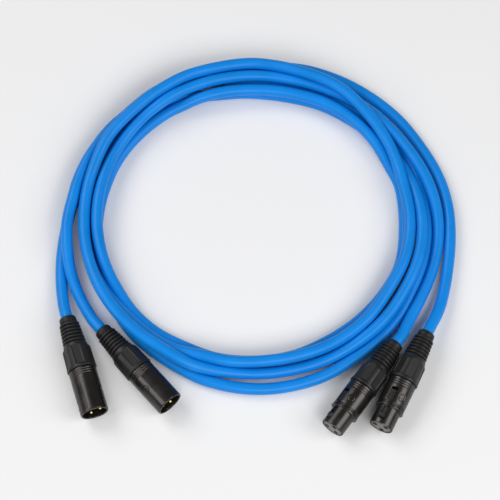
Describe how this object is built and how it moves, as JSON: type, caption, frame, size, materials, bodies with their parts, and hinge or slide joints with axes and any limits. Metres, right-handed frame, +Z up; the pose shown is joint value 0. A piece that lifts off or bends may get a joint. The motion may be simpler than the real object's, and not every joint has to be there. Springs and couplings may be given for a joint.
{
  "type": "xlr cable coil",
  "caption": "Balanced microphone cables coiled together in one loose ring, with male and female three-contact connectors at their ends.",
  "frame": {"origin": "middle of the footprint, on the surface that the coil lies on", "axes": "+Z up; -Y towards the side where all four connectors lie; +X towards the female connectors"},
  "size_m": [0.273, 0.28, 0.02],
  "materials": {
    "jacket": "satin soft PVC",
    "boot_rubber": "matte",
    "bushing_plastic": "fine-textured matte",
    "shell_metal": "satin black chrome",
    "insert_plastic": "satin",
    "contact_gold": "polished gold plate",
    "steel_parts": "bright spring steel",
    "latch_plastic": "semi-gloss",
    "wire_red": "satin",
    "wire_white": "satin",
    "wire_screen": "bare twisted copper"
  },
  "bodies": {
    "root": {"cable_1_coil": "jacket", "cable_2_coil": "jacket", "cable_1_male_lead": "jacket", "cable_1_female_lead": "jacket", "cable_2_male_lead": "jacket", "cable_2_female_lead": "jacket", "male_1_boot": "boot_rubber", "male_1_bushing": "bushing_plastic", "male_1_chuck": "insert_plastic", "male_1_ground_contact": "steel_parts", "male_1_shell": "shell_metal", "male_1_insert": "insert_plastic", "male_1_pin_1": "contact_gold", "male_1_wire_1": "wire_red", "male_1_pin_2": "contact_gold", "male_1_wire_2": "wire_white", "male_1_pin_3": "contact_gold", "male_1_wire_3": "wire_screen", "male_2_boot": "boot_rubber", "male_2_bushing": "bushing_plastic", "male_2_chuck": "insert_plastic", "male_2_ground_contact": "steel_parts", "male_2_shell": "shell_metal", "male_2_insert": "insert_plastic", "male_2_pin_1": "contact_gold", "male_2_wire_1": "wire_red", "male_2_pin_2": "contact_gold", "male_2_wire_2": "wire_white", "male_2_pin_3": "contact_gold", "male_2_wire_3": "wire_screen", "female_1_boot": "boot_rubber", "female_1_bushing": "bushing_plastic", "female_1_chuck": "insert_plastic", "female_1_ground_contact": "steel_parts", "female_1_shell": "shell_metal", "female_1_insert": "insert_plastic", "female_1_socket_1": "contact_gold", "female_1_wire_1": "wire_red", "female_1_socket_2": "contact_gold", "female_1_wire_2": "wire_white", "female_1_socket_3": "contact_gold", "female_1_wire_3": "wire_screen", "female_1_latch_pin": "steel_parts", "female_1_latch_spring": "steel_parts", "female_2_boot": "boot_rubber", "female_2_bushing": "bushing_plastic", "female_2_chuck": "insert_plastic", "female_2_ground_contact": "steel_parts", "female_2_shell": "shell_metal", "female_2_insert": "insert_plastic", "female_2_socket_1": "contact_gold", "female_2_wire_1": "wire_red", "female_2_socket_2": "contact_gold", "female_2_wire_2": "wire_white", "female_2_socket_3": "contact_gold", "female_2_wire_3": "wire_screen", "female_2_latch_pin": "steel_parts", "female_2_latch_spring": "steel_parts"},
    "female_1_latch": {"female_1_latch_lever": "latch_plastic"},
    "female_2_latch": {"female_2_latch_lever": "latch_plastic"}
  },
  "joints": [
    {"name": "female_1_latch_press", "type": "hinge", "parent": "root", "child": "female_1_latch", "pos_m": [0.05972, -0.1129, 0.01467], "axis": [0.5713, -0.4166, 0.7071], "range_deg": [0, 3.5], "stiffness_Nm_per_rad": 0.3, "springref_deg": -2.86},
    {"name": "female_2_latch_press", "type": "hinge", "parent": "root", "child": "female_2_latch", "pos_m": [0.0903, -0.11191, 0.01643], "axis": [0.8712, -0.4363, 0.225], "range_deg": [0, 3.5], "stiffness_Nm_per_rad": 0.3, "springref_deg": -2.86}
  ]
}
